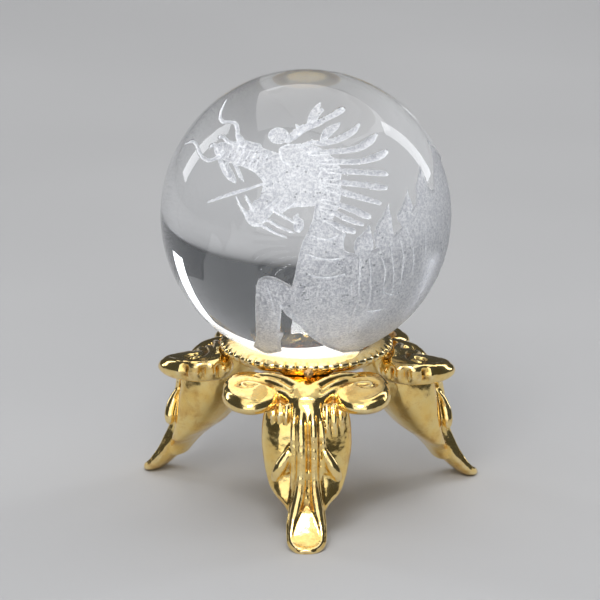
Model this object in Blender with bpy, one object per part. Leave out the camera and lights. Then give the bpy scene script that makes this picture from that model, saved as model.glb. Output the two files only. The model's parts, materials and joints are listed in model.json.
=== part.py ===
"""A solid crystal ball resting in a cast, gold-plated stand with three scroll legs.

Units are metres and +Z is up. The origin lies on the surface that the feet stand on, at the middle
of the object's footprint. The front leg points along -Y.

The pieces are the ball, the seat ring, three legs from one casting pattern, and the bead of solder
that holds each leg's nose to the ring. The legs were set by hand, so their spacing is a little
uneven. The ball is loose and lifts off along its own axis.
"""

import math

import bmesh
import bpy
from mathutils import Matrix, Vector

MM = 0.001

# Driving dimensions, in millimetres. Radii are measured from the stand's own axis.
BALL_RADIUS = 15.0
BALL_CENTRE_Z = 30.2
GAP = 0.3  # clearance kept between neighbouring pieces

SEAT_RADIUS = 7.7  # the circle on which the ball rests
RIM_RADIUS = 8.9
RIM_HEIGHT = 0.95
RIM_CHAMFER = 0.35
RIM_OVERHANG = 0.75  # how far the rim stands out over the cup
RIB_COUNT = 48
RIB_DEPTH = 0.12
CUP_HOLE_RADIUS = 4.6
CUP_DEPTH = 1.35
CUP_WALL = 0.7

FOOT_REACH = 19.4  # the tip of a foot
VOLUTE_CENTRE = (5.65, 10.0, 13.35)  # tangential, radial, height
VOLUTE_RADII = (3.0, 3.6)  # tangential, radial
VOLUTE_TILT = math.radians(13)  # the outward edge hangs lower
VOLUTE_TAPER = 0.06  # thickness lost for each millimetre outwards

BEAD_CENTRE = (9.55, 16.2)  # radial, height
BEAD_RADII = (0.45, 0.36, 0.32)  # tangential, radial, height

LEG_ANGLES = {"front": 0.0, "back_right": math.radians(114), "back_left": math.radians(-120)}

BALL_SEGMENTS = 48
SECTION_POINTS = 20
VOLUTE_POINTS = 24
BAR_POINTS = 10
MERGE_DISTANCE = 0.002

# The stand's axis, placed so that the middle of the whole object's box is at X = 0 and Y = 0. The box runs
# between the tips of the two back feet, and from the tip of the front foot to the back of the ball.
AXIS_X = -FOOT_REACH * (math.sin(LEG_ANGLES["back_right"]) + math.sin(LEG_ANGLES["back_left"])) / 2
AXIS_Y = (FOOT_REACH - BALL_RADIUS) / 2


def clear_scene():
    """Removes every object of the scene."""
    for obj in list(bpy.data.objects):
        bpy.data.objects.remove(obj)


def material(name, colour, roughness, metallic, transmission=0.0):
    """A Principled material with the piece's colour and finish."""
    mat = bpy.data.materials.new(name)
    mat.use_nodes = True
    shader = mat.node_tree.nodes["Principled BSDF"]
    shader.inputs["Base Color"].default_value = (*colour, 1.0)
    shader.inputs["Roughness"].default_value = roughness
    shader.inputs["Metallic"].default_value = metallic
    shader.inputs["Transmission Weight"].default_value = transmission
    return mat


def new_object(name, mesh):
    """Puts a mesh into the scene as an object."""
    obj = bpy.data.objects.new(name, mesh)
    bpy.context.scene.collection.objects.link(obj)
    return obj


def finished_mesh(bm, name):
    """Turns a bmesh, in millimetres, into a mesh in metres with its faces pointing out."""
    bmesh.ops.recalc_face_normals(bm, faces=bm.faces)
    bmesh.ops.scale(bm, vec=(MM, MM, MM), verts=bm.verts)
    mesh = bpy.data.meshes.new(name)
    bm.to_mesh(mesh)
    bm.free()
    return mesh


def smooth(mesh, degrees):
    """Smooth shading that keeps the edges sharper than an angle."""
    mesh.shade_smooth()
    mesh.set_sharp_from_angle(angle=math.radians(degrees))


def loft(sections, name):
    """A closed skin over a list of closed outlines, each with the same number of points."""
    bm = bmesh.new()
    loops = [[bm.verts.new(point) for point in section] for section in sections]
    count = len(sections[0])
    for lower, upper in zip(loops, loops[1:]):
        for i in range(count):
            j = (i + 1) % count
            bm.faces.new((lower[i], lower[j], upper[j], upper[i]))
    bm.faces.new(list(reversed(loops[0])))
    bm.faces.new(loops[-1])
    return finished_mesh(bm, name)


def combine(target, operands, operation):
    """Joins or cuts with a Boolean modifier for each operand, applies them all and removes the operands."""
    for operand in operands:
        boolean = target.modifiers.new(operand.name, "BOOLEAN")
        boolean.operation = operation
        boolean.solver = "EXACT"
        boolean.object = operand
    depsgraph = bpy.context.evaluated_depsgraph_get()
    mesh = bpy.data.meshes.new_from_object(target.evaluated_get(depsgraph))
    target.modifiers.clear()
    target.data = mesh
    for operand in operands:
        bpy.data.objects.remove(operand)


def slopes(stations, index):
    """How fast each value of a station list changes at one station."""
    low, high = stations[max(index - 1, 0)], stations[min(index + 1, len(stations) - 1)]
    return [(b - a) / (high[0] - low[0]) for a, b in zip(low[1:], high[1:])]


def read_curve(stations, x):
    """Reads the smooth curve through (x, a, b, ...) stations, in rising x, and returns (a, b, ...)."""
    index = max([i for i, station in enumerate(stations[:-1]) if station[0] <= x], default=0)
    low, high = stations[index], stations[index + 1]
    span = high[0] - low[0]
    s = (x - low[0]) / span
    weights = ((1 + 2 * s) * (1 - s) ** 2, s * (1 - s) ** 2 * span, s * s * (3 - 2 * s), s * s * (s - 1) * span)
    columns = zip(low[1:], slopes(stations, index), high[1:], slopes(stations, index + 1))
    return tuple(sum(w * value for w, value in zip(weights, column)) for column in columns)


# ---------------------------------------------------------------- ball and ring


def make_ball(parent):
    """The solid ball, with its origin at its centre, on the axis that it lifts along."""
    bm = bmesh.new()
    bmesh.ops.create_uvsphere(
        bm, u_segments=BALL_SEGMENTS, v_segments=BALL_SEGMENTS // 2, radius=BALL_RADIUS
    )
    ball = new_object("crystal_ball", finished_mesh(bm, "crystal_ball"))
    ball.data.shade_smooth()
    ball.data.materials.append(material("crystal", (0.97, 0.98, 1.0), 0.02, 0.0, 1.0))
    ball.location = (0, 0, BALL_CENTRE_Z * MM)
    ball.parent = parent


def seat_height():
    """Height of the lip that carries the ball, one gap below the ball's surface."""
    return BALL_CENTRE_Z - math.sqrt((BALL_RADIUS + GAP) ** 2 - SEAT_RADIUS**2)


def cup_arc(inset, steps):
    """The cup's rounded underside, or its inside when inset by the wall, from under the rim to the hole."""
    top = seat_height() - RIM_HEIGHT
    width = RIM_RADIUS - RIM_OVERHANG - CUP_HOLE_RADIUS - inset
    depth = CUP_DEPTH - inset
    angles = [math.pi / 2 * step / steps for step in range(steps + 1)]
    return [(CUP_HOLE_RADIUS + width * math.cos(a), top - depth * math.sin(a)) for a in angles]


def rim_profile():
    """The milled rim, from the lip over its rounded edge to its underside."""
    top = seat_height()
    return [
        (RIM_RADIUS - RIM_CHAMFER, top),
        (RIM_RADIUS, top - RIM_CHAMFER),
        (RIM_RADIUS, top - RIM_HEIGHT + RIM_CHAMFER / 2),
        (RIM_RADIUS - RIM_CHAMFER, top - RIM_HEIGHT),
    ]


def turned(profile, segments):
    """Spins a (radius, height) outline round the Z axis. Its first point follows its last one."""
    bm = bmesh.new()
    verts = [bm.verts.new((radius, 0, z)) for radius, z in profile]
    edges = [bm.edges.new((verts[i - 1], verts[i])) for i in range(len(verts))]
    bmesh.ops.spin(bm, geom=verts + edges, axis=(0, 0, 1), cent=(0, 0, 0), angle=math.tau, steps=segments)
    bmesh.ops.remove_doubles(bm, verts=bm.verts, dist=MERGE_DISTANCE)
    return bm


def make_ring(parent, gold):
    """The cast ring: a shallow open cup under a rim whose outer face is milled into fine ribs."""
    inside = list(reversed(cup_arc(CUP_WALL, 4)))
    bm = turned([(SEAT_RADIUS, seat_height())] + rim_profile() + cup_arc(0.0, 5) + inside, RIB_COUNT * 2)
    ribbed = {round(radius, 3) for radius, _ in rim_profile()[1:3]}
    pitch = math.tau / (RIB_COUNT * 2)
    for vert in bm.verts:
        radius = math.hypot(vert.co.x, vert.co.y)
        index = round(math.atan2(vert.co.y, vert.co.x) / pitch)
        if round(radius, 3) in ribbed and index % 2:
            vert.co.xy *= (radius - RIB_DEPTH) / radius
    ring = new_object("seat_ring", finished_mesh(bm, "seat_ring"))
    smooth(ring.data, 40)
    ring.data.materials.append(gold)
    ring.parent = parent


def ring_cutter():
    """The ring's outside, one gap larger and filled in, which cuts the saddle in each leg's head."""
    core = 1.0
    top = BALL_CENTRE_Z
    underside = [(radius + GAP / 2, z - GAP) for radius, z in cup_arc(0.0, 8)]
    rim = [(RIM_RADIUS + GAP, z - GAP) for _, z in reversed(rim_profile()[2:])]
    outline = [(core, underside[-1][1])] + underside[::-1] + rim + [(RIM_RADIUS + GAP, top), (core, top)]
    return new_object("ring_cutter", finished_mesh(turned(outline, 72), "ring_cutter"))


# ---------------------------------------------------------------- leg casting
# A leg is modelled at the front: +X is tangential, -Y is outwards and +Z is up.

BODY_SQUARENESS = 0.8  # 1 is an ellipse, and less is boxier
# Height, half width, inner radius and outer radius of the leg's broad body.
BODY_STATIONS = (
    (2.2, 1.5, 14.6, 16.4),
    (3.6, 2.4, 13.6, 15.6),
    (4.8, 4.0, 12.4, 15.0),
    (6.4, 4.4, 10.4, 14.5),
    (9.4, 4.6, 8.2, 14.0),
    (12.4, 4.3, 7.0, 13.2),
    (15.2, 3.2, 6.4, 10.4),
)

# Radius and height of the trunk's middle, its half width, its half thickness, and how hollow its front is.
TRUNK_STATIONS = (
    (8.4, 14.3, 0.9, 0.7, 0.0),
    (9.3, 14.65, 1.2, 0.95, 0.0),
    (10.5, 14.75, 1.3, 1.15, 0.0),
    (12.3, 13.7, 1.4, 1.15, 0.05),
    (13.7, 11.8, 1.3, 1.1, 0.3),
    (14.2, 9.4, 1.25, 1.1, 0.35),
    (14.5, 7.0, 1.45, 1.05, 0.35),
    (14.9, 5.0, 1.65, 1.0, 0.3),
    (15.6, 3.4, 1.85, 0.95, 0.5),
    (16.7, 1.9, 2.05, 0.8, 0.75),
    (17.9, 0.7, 2.0, 0.65, 0.75),
    (18.7, 0.25, 1.5, 0.5, 0.5),
    (FOOT_REACH - 0.1, 0.12, 0.7, 0.35, 0.0),
)

# The next two give tangential place, radius from the axis, height and half thickness along a round bar.
# The shoulder runs from the nose to the back of a volute, and the tusk hangs beside the trunk.
SHOULDER_STATIONS = (
    (0.5, 12.0, 14.0, 0.7),
    (1.9, 10.9, 14.4, 0.95),
    (3.2, 9.6, 14.6, 0.95),
    (4.4, 8.4, 14.6, 0.85),
    (5.4, 7.7, 14.4, 0.6),
)
TUSK_STATIONS = (
    (1.5, 14.1, 9.9, 0.35),
    (1.9, 14.5, 9.0, 0.55),
    (2.6, 14.7, 7.8, 0.65),
    (3.1, 14.8, 6.8, 0.55),
    (3.35, 14.8, 6.1, 0.2),
)


def body_mesh():
    """The broad body behind the trunk: level outlines stacked upwards."""
    sections = []
    heights = [station[0] for station in BODY_STATIONS]
    heights += [(low + high) / 2 for low, high in zip(heights, heights[1:])]
    for height in sorted(heights):
        half_width, inner, outer = read_curve(BODY_STATIONS, height)
        middle, reach = (inner + outer) / 2, (outer - inner) / 2
        outline = []
        for i in range(SECTION_POINTS):
            angle = math.tau * (i + 0.5) / SECTION_POINTS
            across = math.copysign(abs(math.cos(angle)) ** BODY_SQUARENESS, math.cos(angle))
            along = math.copysign(abs(math.sin(angle)) ** BODY_SQUARENESS, math.sin(angle))
            outline.append((half_width * across, -(middle + reach * along), height))
        sections.append(outline)
    return loft(sections, "leg_body")


def trunk_mesh():
    """The nose, trunk and spoon foot: one bar swept down the leg's front, with a hollow face."""
    sections = []
    last = len(TRUNK_STATIONS) - 1
    for index, (radius, height, half_width, half_depth, hollow) in enumerate(TRUNK_STATIONS):
        before, after = TRUNK_STATIONS[max(index - 1, 0)], TRUNK_STATIONS[min(index + 1, last)]
        along = Vector((0, -(after[0] - before[0]), after[1] - before[1])).normalized()
        face = Vector((0, along.z, -along.y))
        centre = Vector((0, -radius, height))
        outline = []
        for i in range(SECTION_POINTS):
            angle = math.tau * i / SECTION_POINTS
            across, rise = math.cos(angle), math.sin(angle)
            if rise > 0:
                rise *= 1 - hollow * (1 - across * across)
            outline.append(centre + Vector((half_width * across, 0, 0)) + face * (half_depth * rise))
        sections.append(outline)
    return loft(sections, "leg_trunk")


def volute_mesh(side):
    """One flat scroll pad: an oval cushion, thicker towards the ring, with a conical eye sunk in its top."""
    rings = (
        (0.72, -1.15),
        (0.93, -0.85),
        (1.0, -0.2),
        (0.99, 0.45),
        (0.9, 0.9),
        (0.68, 1.15),
        (0.24, 1.15),
        (0.14, 0.5),
    )
    tangential, radial, height = VOLUTE_CENTRE
    tilt = Matrix.Rotation(VOLUTE_TILT, 3, "X")
    sections = []
    for scale, level in rings:
        outline = []
        for i in range(VOLUTE_POINTS):
            angle = math.tau * i / VOLUTE_POINTS
            out = VOLUTE_RADII[1] * scale * math.sin(angle)
            point = Vector((VOLUTE_RADII[0] * scale * math.cos(angle), -out, level * (1 - VOLUTE_TAPER * out)))
            outline.append(tilt @ point + Vector((side * tangential, -radial, height)))
        sections.append(outline)
    return loft(sections, "leg_volute")


def bar_mesh(stations, side, name):
    """A round bar of changing thickness through (tangential, radial, height, radius) stations."""
    points = [Vector((side * t, -r, z)) for t, r, z, _ in stations]
    last = len(points) - 1
    turns = [math.tau * i / BAR_POINTS for i in range(BAR_POINTS)]
    sections = []
    for index, point in enumerate(points):
        along = (points[min(index + 1, last)] - points[max(index - 1, 0)]).normalized()
        first = along.cross(Vector((0, 0.6, 0.8))).normalized()
        second = along.cross(first)
        radius = stations[index][3]
        sections.append([point + radius * (first * math.cos(a) + second * math.sin(a)) for a in turns])
    return loft(sections, name)


def ground_cutter():
    """A block below the standing surface, which leaves the foot a flat underside."""
    size = 3 * FOOT_REACH
    bm = bmesh.new()
    bmesh.ops.create_cube(bm, size=size)
    bmesh.ops.translate(bm, vec=(0, 0, -size / 2), verts=bm.verts)
    return new_object("ground_cutter", finished_mesh(bm, "ground_cutter"))


def leg_mesh():
    """The whole casting as one closed solid, shared by the three legs."""
    leg = new_object("leg", body_mesh())
    shapes = [trunk_mesh()]
    for side in (-1, 1):
        shapes.append(volute_mesh(side))
        shapes.append(bar_mesh(SHOULDER_STATIONS, side, "leg_shoulder"))
        shapes.append(bar_mesh(TUSK_STATIONS, side, "leg_tusk"))
    combine(leg, [new_object("casting", mesh) for mesh in shapes], "UNION")
    combine(leg, [ring_cutter(), ground_cutter()], "DIFFERENCE")
    mesh = leg.data
    bpy.data.objects.remove(leg)
    bm = bmesh.new()
    bm.from_mesh(mesh)
    bmesh.ops.remove_doubles(bm, verts=bm.verts, dist=MERGE_DISTANCE * MM)
    bmesh.ops.dissolve_degenerate(bm, dist=MERGE_DISTANCE * MM, edges=bm.edges)
    bm.to_mesh(mesh)
    bm.free()
    smooth(mesh, 35)
    return mesh


def make_legs(parent, gold):
    """Three legs from one casting, turned about the stand's axis."""
    mesh = leg_mesh()
    mesh.materials.clear()
    mesh.materials.append(gold)
    for place, angle in LEG_ANGLES.items():
        leg = new_object("leg_" + place, mesh)
        leg.rotation_euler = (0, 0, angle)
        leg.parent = parent


def make_solder(parent, solder):
    """The three beads of solder between the noses and the rim."""
    bm = bmesh.new()
    bmesh.ops.create_icosphere(bm, subdivisions=3, radius=1.0)
    bmesh.ops.scale(bm, vec=BEAD_RADII, verts=bm.verts)
    mesh = finished_mesh(bm, "solder_bead")
    mesh.shade_smooth()
    mesh.materials.append(solder)
    for place, angle in LEG_ANGLES.items():
        bead = new_object("solder_" + place, mesh)
        turn = Matrix.Rotation(angle, 4, "Z")
        bead.location = turn @ Vector((0, -BEAD_CENTRE[0] * MM, BEAD_CENTRE[1] * MM))
        bead.rotation_euler = (0, 0, angle)
        bead.parent = parent


def main():
    clear_scene()
    axis = bpy.data.objects.new("stand_axis", None)
    bpy.context.scene.collection.objects.link(axis)
    axis.location = (AXIS_X * MM, AXIS_Y * MM, 0)
    gold = material("gold_plate", (0.95, 0.72, 0.3), 0.14, 1.0)
    make_ball(axis)
    make_ring(axis, gold)
    make_legs(axis, gold)
    make_solder(axis, material("solder_bead", (0.8, 0.6, 0.3), 0.3, 1.0))


main()
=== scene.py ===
"""The looks of the crystal ball and its gilt stand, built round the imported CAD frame.

The ball is polished glass with a dragon ground into its front, which wraps round its right side. The
stand is a milled ring on three cast legs, all gold plated. Shapes are worked out in millimetres and
scaled to metres when a mesh is finished.
"""

import json
import math

import bmesh
import bpy
import numpy as np
from mathutils import Matrix, Vector, noise
from mathutils.bvhtree import BVHTree


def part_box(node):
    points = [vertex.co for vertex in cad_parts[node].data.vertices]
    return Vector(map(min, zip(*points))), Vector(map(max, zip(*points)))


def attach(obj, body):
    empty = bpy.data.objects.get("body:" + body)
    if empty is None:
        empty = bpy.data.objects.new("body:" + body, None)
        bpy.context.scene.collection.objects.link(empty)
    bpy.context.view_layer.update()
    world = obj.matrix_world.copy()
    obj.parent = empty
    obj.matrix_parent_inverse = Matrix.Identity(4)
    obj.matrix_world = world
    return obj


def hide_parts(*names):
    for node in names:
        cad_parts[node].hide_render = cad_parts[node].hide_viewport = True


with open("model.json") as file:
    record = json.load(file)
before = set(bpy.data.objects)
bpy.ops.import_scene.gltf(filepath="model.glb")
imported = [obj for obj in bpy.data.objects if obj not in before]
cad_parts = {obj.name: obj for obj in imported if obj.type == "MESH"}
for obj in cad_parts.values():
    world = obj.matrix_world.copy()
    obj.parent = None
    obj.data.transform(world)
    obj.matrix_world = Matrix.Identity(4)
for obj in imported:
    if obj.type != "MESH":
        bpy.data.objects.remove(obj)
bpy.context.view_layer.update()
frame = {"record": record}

MM = 0.001

# ---- places, read from the frame

ball_low, ball_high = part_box("crystal_ball")
BALL_RADIUS = (ball_high.z - ball_low.z) / 2 / MM
BALL_CENTRE = (ball_low + ball_high) / 2
AXIS = Vector((BALL_CENTRE.x, BALL_CENTRE.y, 0))
BALL_HEIGHT = BALL_CENTRE.z / MM
RIM_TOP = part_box("seat_ring")[1].z / MM
PLACES = ("front", "back_left", "back_right")


def leg_angle(place):
    """How far a leg is turned from the front, from the mount under its foot."""
    mount = next(m for m in frame["record"]["mounts"] if m["name"] == "foot_" + place)
    x, y = mount["pos_m"][0] - AXIS.x, mount["pos_m"][1] - AXIS.y
    return math.atan2(x, -y)


# ---- mesh helpers


def through(points, steps):
    """A smooth curve through a list of points of any dimension, with some steps from each to the next."""
    p = np.array(points, float)
    p = np.vstack([2 * p[0] - p[1], p, 2 * p[-1] - p[-2]])
    s = np.linspace(0, 1, steps, endpoint=False)[:, None]
    parts = []
    for a, b, c, d in zip(p, p[1:], p[2:], p[3:]):
        square = a - 2.5 * b + 2 * c - d / 2
        cube = 1.5 * (b - c) + (d - a) / 2
        parts.append(b + s * (c - a) / 2 + s**2 * square + s**3 * cube)
    return np.vstack(parts + [p[-2:-1]])


def line_distance(points, path):
    """Distance from each point to a polyline, and how far along the polyline, in segments, it is nearest."""
    best = np.full(len(points), 1e9)
    place = np.zeros(len(points))
    for index, (start, end) in enumerate(zip(path, path[1:])):
        along = end - start
        share = np.clip((points - start) @ along / max(along @ along, 1e-12), 0, 1)
        distance = np.linalg.norm(points - start - share[:, None] * along, axis=1)
        nearer = distance < best
        best[nearer] = distance[nearer]
        place[nearer] = index + share[nearer]
    return best, place


def inside_distance(points, outline):
    """Signed distance from each flat point to a closed outline, positive inside it."""
    closed = np.vstack([outline, outline[:1]])
    distance, _ = line_distance(points, closed)
    inside = np.zeros(len(points), bool)
    x, y = points[:, 0], points[:, 1]
    for (x0, y0), (x1, y1) in zip(closed, closed[1:]):
        if y0 != y1:
            crosses = (y0 > y) != (y1 > y)
            inside ^= crosses & (x < x0 + (y - y0) / (y1 - y0) * (x1 - x0))
    return np.where(inside, distance, -distance)


def unit(vectors):
    """Each row scaled to length 1, unless it is almost nothing."""
    return vectors / np.maximum(np.linalg.norm(vectors, axis=1), 1e-9)[:, None]


def step(x, low, high):
    """A smooth rise from 0 at low to 1 at high."""
    s = np.clip((x - low) / (high - low), 0, 1)
    return s * s * (3 - 2 * s)


def new_mesh(name, points, faces):
    """A smooth mesh from points in millimetres and faces."""
    mesh = bpy.data.meshes.new(name)
    mesh.from_pydata((np.asarray(points) * MM).tolist(), [], [tuple(map(int, f)) for f in faces])
    mesh.update()
    mesh.shade_smooth()
    return mesh


def outwards(mesh):
    """Turns a mesh's faces outwards, and gives its BMesh."""
    bm = bmesh.new()
    bm.from_mesh(mesh)
    bmesh.ops.recalc_face_normals(bm, faces=bm.faces)
    bm.to_mesh(mesh)
    return bm


def give(mesh, name, values):
    """Stores one number for each vertex, for the materials to read."""
    mesh.attributes.new(name, "FLOAT", "POINT").data.foreach_set("value", np.asarray(values, np.float32))


def read(mesh):
    """A mesh's points in millimetres, its normals and its edges, as arrays."""
    points, normals = np.zeros(len(mesh.vertices) * 3), np.zeros(len(mesh.vertices) * 3)
    edges = np.zeros(len(mesh.edges) * 2, int)
    mesh.vertices.foreach_get("co", points)
    mesh.vertices.foreach_get("normal", normals)
    mesh.edges.foreach_get("vertices", edges)
    return points.reshape(-1, 3) / MM, normals.reshape(-1, 3), edges.reshape(-1, 2)


def write(mesh, points):
    """Puts points, in millimetres, back into a mesh."""
    mesh.vertices.foreach_set("co", (points * MM).ravel())
    mesh.update()


def relaxed(values, edges, rounds):
    """Each value moved half way to the mean of its neighbours, several times over."""
    count = len(values)
    degree = np.bincount(edges.ravel(), minlength=count)[:, None]
    ends = np.concatenate([edges[:, 0], edges[:, 1]])
    others = np.concatenate([edges[:, 1], edges[:, 0]])
    for _ in range(rounds):
        sums = np.stack([np.bincount(ends, column, count) for column in values[others].T], 1)
        values = values + 0.5 * (sums / np.maximum(degree, 1) - values)
    return values


def lumps(points, size, seed):
    """Smooth random values, one for each point, with lumps of about one size."""
    offset = Vector((seed * 7.3, seed * 3.1, seed * 5.7))
    return np.array([noise.noise(Vector(p) / size + offset) for p in points])


def recesses(mesh, rounds, scale):
    """How hollow the surface is at each vertex: 0 on a crest, 0.5 where it is flat, 1 in a groove."""
    points, normals, edges = read(mesh)
    lifted = np.einsum("ij,ij->i", relaxed(points, edges, rounds) - points, normals)
    return np.clip(0.5 + lifted / scale, 0, 1)


def unit_sphere(subdivisions):
    """The points and triangles of an even sphere of radius 1."""
    bm = bmesh.new()
    bmesh.ops.create_icosphere(bm, subdivisions=subdivisions, radius=1.0)
    points = np.array([v.co for v in bm.verts])
    faces = np.array([[v.index for v in f.verts] for f in bm.faces])
    bm.free()
    return points, faces


def placed(name, data):
    """A new object in the scene."""
    obj = bpy.data.objects.new(name, data)
    bpy.context.scene.collection.objects.link(obj)
    return obj


def piece(name, mesh, material, body, node, matrix):
    """Puts a finished mesh, which may be in the scene already, in place of a CAD node."""
    obj = placed(name, mesh)
    obj.matrix_world = matrix
    if not mesh.materials:
        mesh.materials.append(material)
    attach(obj, body)
    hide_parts(node)


# ---- material helpers


class Nodes:
    """A material's node tree, with short ways to add nodes and to join them."""

    def __init__(self, name):
        self.material = bpy.data.materials.new(name)
        self.material.use_nodes = True
        self.tree = self.material.node_tree
        self.shader = self.tree.nodes["Principled BSDF"]

    def set(self, **values):
        """Sets sockets of the Principled shader, with _ for a space."""
        for name, value in values.items():
            self.shader.inputs[name.replace("_", " ").title().replace("Ior", "IOR")].default_value = value

    def add(self, kind, links=(), **settings):
        """Adds a node, sets its properties, and links or sets its inputs from (socket, source) pairs."""
        node = self.tree.nodes.new(kind)
        for name, value in settings.items():
            setattr(node, name, value)
        for socket, source in links:
            if isinstance(source, bpy.types.NodeSocket):
                self.tree.links.new(source, node.inputs[socket])
            else:
                node.inputs[socket].default_value = source
        return node

    def link(self, source, socket):
        self.tree.links.new(source, self.shader.inputs[socket])

    def attribute(self, name):
        return self.add("ShaderNodeAttribute", attribute_name=name).outputs["Fac"]

    def place(self):
        return self.add("ShaderNodeTexCoord").outputs["Object"]

    def noise(self, size, detail, roughness=0.5, distortion=0.0):
        """Noise whose lumps are about size millimetres across, from 0 to 1."""
        links = (("Vector", self.place()), ("Scale", 1 / (size * MM)), ("Detail", detail))
        more = (("Roughness", roughness), ("Distortion", distortion))
        return self.add("ShaderNodeTexNoise", links + more).outputs["Fac"]

    def cells(self, size):
        """Distance to scattered points about size millimetres apart, as a share of that size."""
        links = (("Vector", self.place()), ("Scale", 1 / (size * MM)))
        return self.add("ShaderNodeTexVoronoi", links).outputs["Distance"]

    def maths(self, operation, a, b, clamp=False):
        return self.add("ShaderNodeMath", ((0, a), (1, b)), operation=operation, use_clamp=clamp).outputs[0]

    def times(self, a, b):
        return self.maths("MULTIPLY", a, b)

    def ramp(self, value, low, high, start=0.0, end=1.0):
        """A number that goes from start to end as value goes from low to high."""
        links = (("Value", value), ("From Min", low), ("From Max", high), ("To Min", start), ("To Max", end))
        return self.add("ShaderNodeMapRange", links, clamp=True).outputs["Result"]

    def blend(self, share, first, second):
        """A number between two others."""
        node = self.add("ShaderNodeMix", ((0, share), (2, first), (3, second)), data_type="FLOAT")
        return node.outputs[0]

    def colours(self, share, first, second):
        """A colour between two others."""
        node = self.add("ShaderNodeMix", ((0, share), (6, first), (7, second)), data_type="RGBA")
        return node.outputs[2]

    def bump(self, height, depth, strength, before=None):
        """Relief whose height of 1 stands for a depth in millimetres, on top of the relief before it."""
        links = (("Height", height), ("Distance", depth * MM), ("Strength", strength))
        node = self.add("ShaderNodeBump", links)
        if before is not None:
            self.tree.links.new(before, node.inputs["Normal"])
        return node.outputs["Normal"]


def rgb(red, green, blue):
    """An opaque colour as a socket takes it."""
    return (red, green, blue, 1.0)


# ---- the carved dragon
# The dragon is drawn flat, in ball radii, as someone sees it who looks at the front of the ball from
# CARVE_TILT above the level. A point further out than one radius lies past the ball's outline, on the
# side turned away: at 1.1 it is as far round the back as 0.9 is round the front.

CARVE_TILT = math.radians(17)
TILT_SINE, TILT_COSINE = math.sin(CARVE_TILT), math.cos(CARVE_TILT)
CARVE_AXES = np.array(((1, 0, 0), (0, TILT_SINE, TILT_COSINE), (0, -TILT_COSINE, TILT_SINE)))

GROUND_DEPTH = 0.15  # how deep the wide areas are ground away
GROUND_SLOPE = 0.4  # how far from its edge an area reaches its full depth
STROKE_DEPTH = 0.8  # depth of a stroke, as a share of its half width
STROKE_RIM = 0.03  # how far past a stroke its painted white edge highlight reaches
LINE_WIDTH = 0.09  # half width of an engraved line
LINE_DEPTH = 0.07
LINE_FAINTNESS = 0.03  # a line gets a painted white highlight as if it were an edge this far off
OUTLINE_FAINTNESS = 0.03  # and so does an area's outline
BROW_DEPTH = 0.08  # added to the head's
BROW_SLOPE = 0.5
# half width of the white highlight painted along edges and lines
EDGE_HIGHLIGHT_WIDTH = 0.1
NEARBY = 1.0  # a shape matters only to points this near to it
FAR = 9.0  # stands for any greater distance
FROST_LIMIT = 0.5  # distances into the frost are stored up to here

BASE_SUBDIVISIONS = 6
FINE_MARGINS = (0.5, 0.35)  # the mesh is split this far round the carving, once for each
CRISP_MARGIN = 0.11  # and once more this near to an edge or line

# Each outline is a list of runs, and each run a smooth curve that goes on from the last point of the
# run before it, where there is a corner.
HEAD = (
    ((-0.62, 0.405), (-0.625, 0.455), (-0.58, 0.485), (-0.53, 0.485), (-0.48, 0.49), (-0.44, 0.505)),
    ((-0.37, 0.485), (-0.31, 0.47)),
    ((-0.29, 0.44), (-0.23, 0.42), (-0.19, 0.405)),
    ((-0.18, 0.445), (-0.13, 0.465), (-0.07, 0.47), (-0.02, 0.47)),
    ((0.06, 0.455), (0.115, 0.425), (0.185, 0.37), (0.23, 0.3), (0.23, 0.215)),
    ((0.23, 0.115), (0.215, 0.04), (0.185, -0.02), (0.16, -0.06)),
    ((0.195, -0.1), (0.115, -0.14), (0.02, -0.12)),
    ((0.045, -0.02), (0.055, 0.05)),
    ((0.0, 0.045), (-0.08, 0.04), (-0.12, 0.03), (-0.165, 0.0)),
    ((-0.2, 0.02), (-0.24, -0.01), (-0.27, -0.05), (-0.31, -0.09)),
    ((-0.35, -0.09), (-0.39, -0.07), (-0.415, -0.03), (-0.42, 0.01)),
    ((-0.38, 0.03), (-0.36, 0.075), (-0.32, 0.105), (-0.3, 0.155)),
    ((-0.295, 0.205), (-0.32, 0.245), (-0.36, 0.28), (-0.43, 0.315)),
    ((-0.49, 0.335), (-0.54, 0.345), (-0.58, 0.36), (-0.62, 0.405)),
)
BODY = (
    ((0.03, -0.06), (0.015, -0.11), (-0.03, -0.2), (-0.06, -0.31), (-0.08, -0.42), (-0.1, -0.49)),
    ((-0.15, -0.46), (-0.21, -0.43), (-0.27, -0.42), (-0.32, -0.44), (-0.34, -0.49)),
    ((-0.345, -0.6), (-0.345, -0.72), (-0.34, -0.82), (-0.36, -0.9)),
    ((-0.27, -0.945), (-0.17, -0.93)),
    ((-0.175, -0.86), (-0.155, -0.81), (-0.18, -0.79), (-0.175, -0.72), (-0.17, -0.64)),
    ((-0.13, -0.69), (-0.05, -0.75), (0.03, -0.83), (0.14, -0.9), (0.25, -0.94)),
    ((0.5, -0.91), (0.8, -0.8), (1.06, -0.58), (1.22, -0.25), (1.265, 0.1)),
    ((1.21, 0.42), (1.07, 0.68), (0.84, 0.87)),
    ((0.98, 0.64), (1.01, 0.46), (0.99, 0.35), (0.965, 0.3), (0.94, 0.25), (0.865, 0.17)),
    ((0.78, 0.115), (0.72, 0.045), (0.64, -0.09), (0.575, -0.15), (0.485, -0.22), (0.43, -0.25)),
    ((0.38, -0.285), (0.33, -0.27)),
    ((0.26, -0.25), (0.25, -0.19), (0.265, -0.135)),
    ((0.215, -0.11), (0.165, -0.05), (0.095, -0.02), (0.03, -0.06)),
)
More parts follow.
